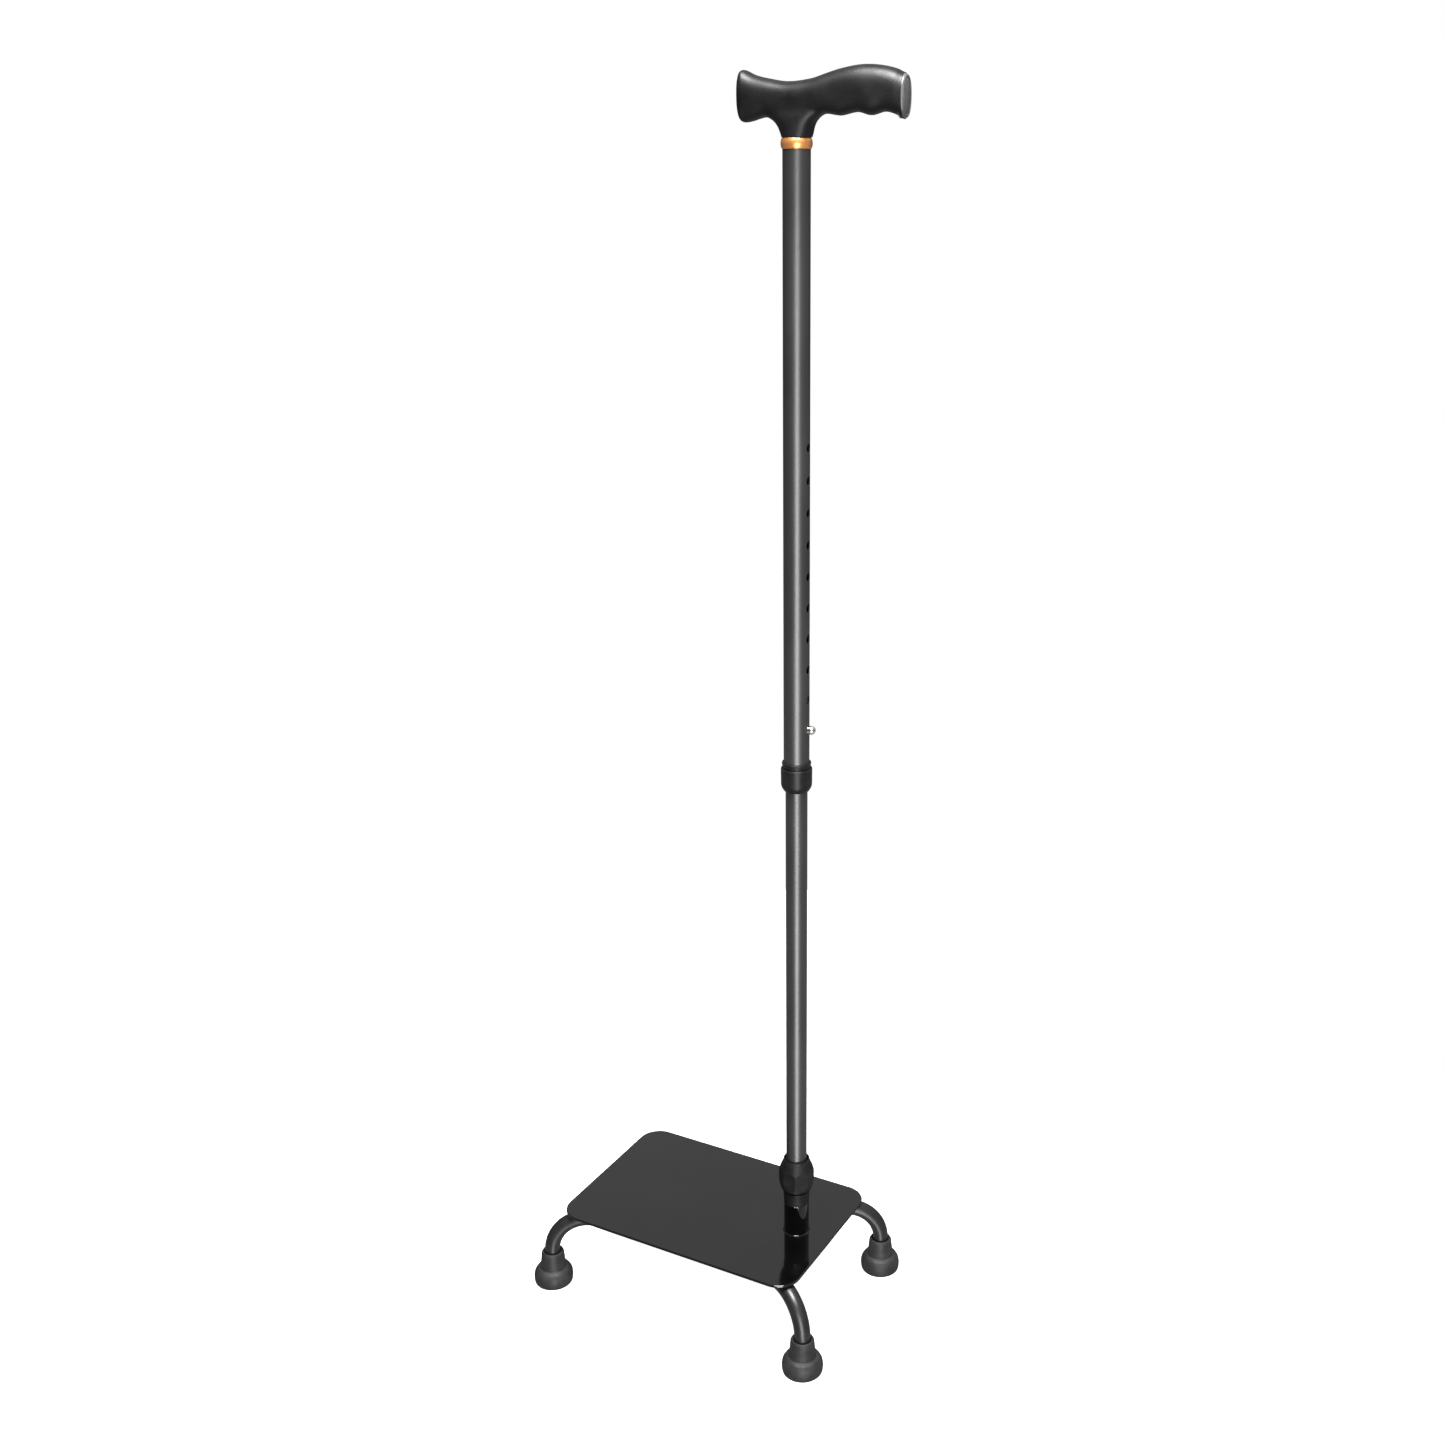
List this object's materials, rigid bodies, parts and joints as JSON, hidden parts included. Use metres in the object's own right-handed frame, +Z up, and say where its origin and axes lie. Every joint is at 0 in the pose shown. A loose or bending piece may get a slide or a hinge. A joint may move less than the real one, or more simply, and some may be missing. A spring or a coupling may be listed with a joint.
{
  "type": "quad walking cane",
  "caption": "Free-standing walking cane: palm-grip handle, telescoping push-button shaft and a steel plate base on bent-tube legs with rubber feet.",
  "frame": {"origin": "on the floor, in the middle of the cane's overall footprint (its bounding box)", "axes": "+Z up along the shaft, +X along the base plate towards the shaft end, +Y across the plate"},
  "size_m": [0.3132, 0.191, 1.0496],
  "materials": {
    "shaft_gunmetal": "satin black anodised tube",
    "plate_gloss_black": "high-gloss black paint",
    "leg_black": "semi-gloss black powder coat",
    "foot_rubber": "matte dark grey moulded rubber",
    "plain_steel": "zinc-plated steel",
    "button_chrome": "polished chrome",
    "collar_copper_gold": "polished copper-gold",
    "grip_black": "fine-grained moulded plastic",
    "plug_grey": "smooth dark grey plastic",
    "nut_black": "matte moulded nylon",
    "cup_black": "semi-gloss moulded plastic",
    "stem_nylon": "moulded nylon"
  },
  "bodies": {
    "base": {"base_plate": "plate_gloss_black", "front_leg_tube": "leg_black", "rear_leg_tube": "leg_black", "front_leg_welds": "leg_black", "rear_leg_welds": "leg_black", "front_left_foot": "foot_rubber", "front_right_foot": "foot_rubber", "rear_left_foot": "foot_rubber", "rear_right_foot": "foot_rubber", "foot_washers": "plain_steel", "post": "plate_gloss_black", "post_weld": "plate_gloss_black", "threaded_socket": "nut_black", "gripping_collet": "stem_nylon"},
    "lock_nut": {"lock_nut": "nut_black"},
    "lower_shaft": {"lower_tube": "shaft_gunmetal", "guide_plug": "stem_nylon", "height_button_spring": "plain_steel"},
    "height_button": {"height_button": "button_chrome"},
    "upper_shaft": {"upper_tube": "shaft_gunmetal", "collar_bush": "cup_black", "rattle_ring": "foot_rubber", "handle_collar": "collar_copper_gold", "handle_stem": "stem_nylon", "handle_pin": "plain_steel", "handle_grip": "grip_black", "grip_end_plug": "plug_grey"},
    "collar_cup": {"collar_cup": "cup_black"}
  },
  "joints": [
    {"name": "shaft_swivel", "type": "hinge", "parent": "base", "child": "lower_shaft", "pos_m": [0.0726, 0, 0], "axis": [0, 0, 1], "range_deg": [-180, 180]},
    {"name": "lock_nut_turn", "type": "hinge", "parent": "base", "child": "lock_nut", "pos_m": [0.0726, 0, 0], "axis": [0, 0, 1], "range_deg": [0, 360]},
    {"name": "height_adjust", "type": "slide", "parent": "lower_shaft", "child": "upper_shaft", "axis": [0, 0, 1], "range_m": [-0.2286, 0], "deforming": ["height_button_spring", "height_button"]},
    {"name": "height_button_press", "type": "slide", "parent": "lower_shaft", "child": "height_button", "axis": [0.9914, 0.1305, 0], "range_m": [-0.0071, 0], "stiffness_N_per_m": 900, "springref_m": 0.002},
    {"name": "collar_cup_turn", "type": "hinge", "parent": "upper_shaft", "child": "collar_cup", "pos_m": [0.0726, 0, 0], "axis": [0, 0, 1], "range_deg": [-360, 0]}
  ]
}
